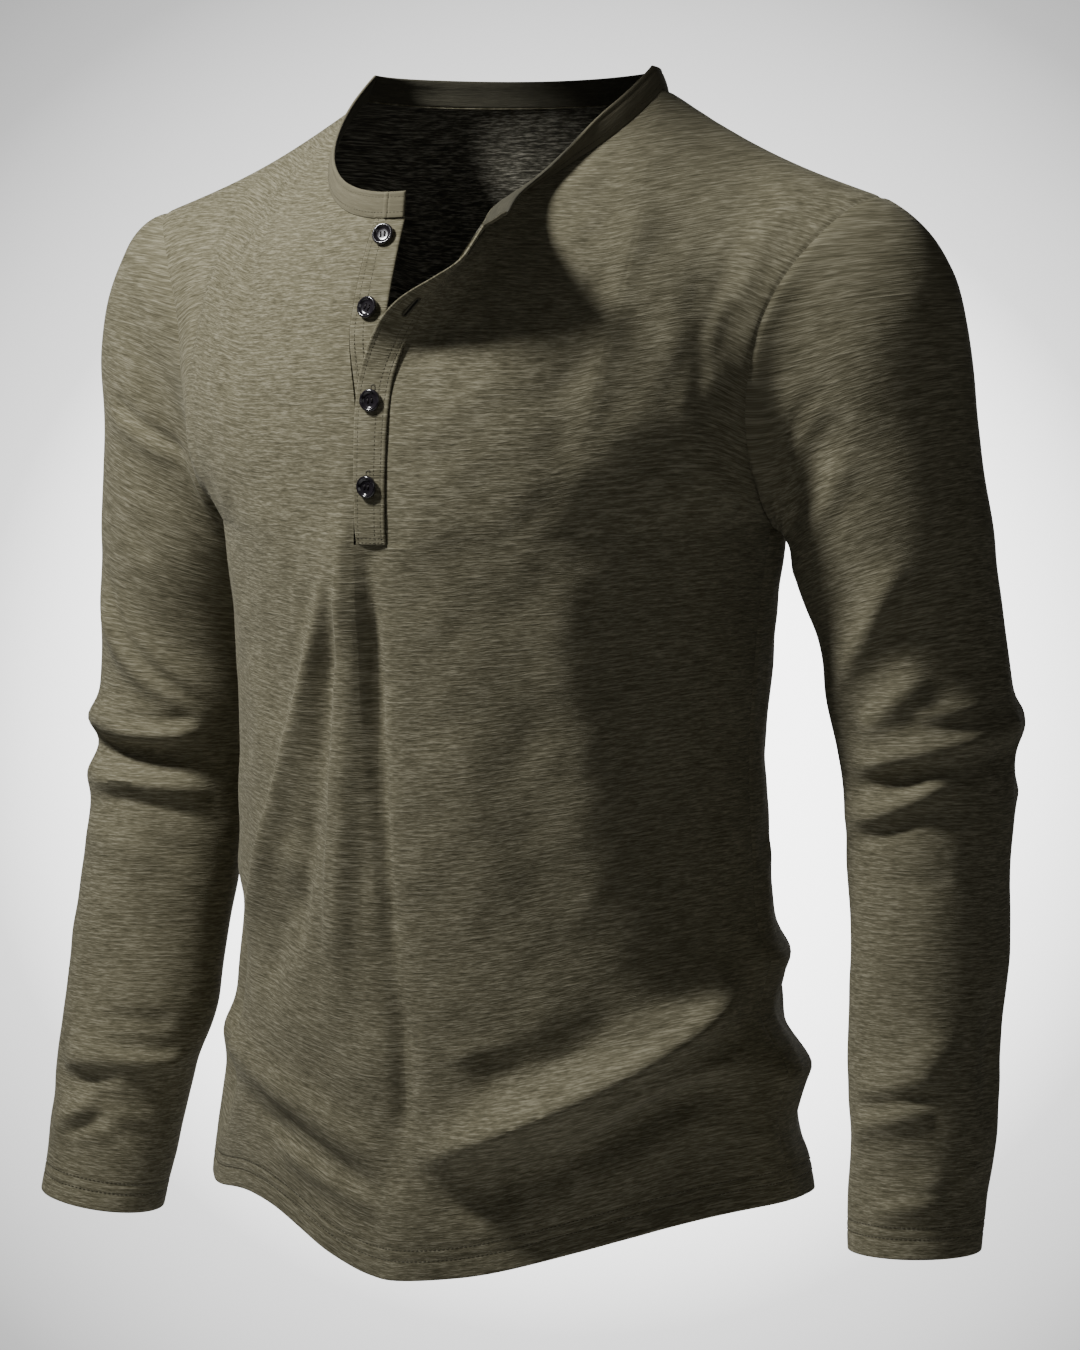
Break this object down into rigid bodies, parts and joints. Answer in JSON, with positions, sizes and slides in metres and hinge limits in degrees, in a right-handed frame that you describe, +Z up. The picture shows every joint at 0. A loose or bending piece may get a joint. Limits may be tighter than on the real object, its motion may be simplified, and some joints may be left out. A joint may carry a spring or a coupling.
{
  "type": "henley shirt",
  "caption": "Long-sleeved collarless jersey shirt with a short buttoned neck placket, held in its worn shape with the top of the placket open.",
  "frame": {"origin": "midway between the two points where a shoulder seam meets the neckband, where the shirt hangs from its wearer", "axes": "+Z up, the wearer faces -Y, +X is the wearer's left"},
  "size_m": [0.631, 0.3099, 0.6941],
  "materials": {
    "jersey": "thin slub jersey, matte, dark olive",
    "band_jersey": "the same jersey doubled, matte",
    "button": "near black, polished"
  },
  "bodies": {
    "root": {"front": "jersey", "back": "jersey", "sleeve_left": "jersey", "sleeve_right": "jersey", "neckband": "band_jersey", "placket_over": "jersey", "placket_under": "jersey", "button_1": "button", "button_2": "button", "button_3": "button", "button_4": "button"}
  },
  "joints": []
}
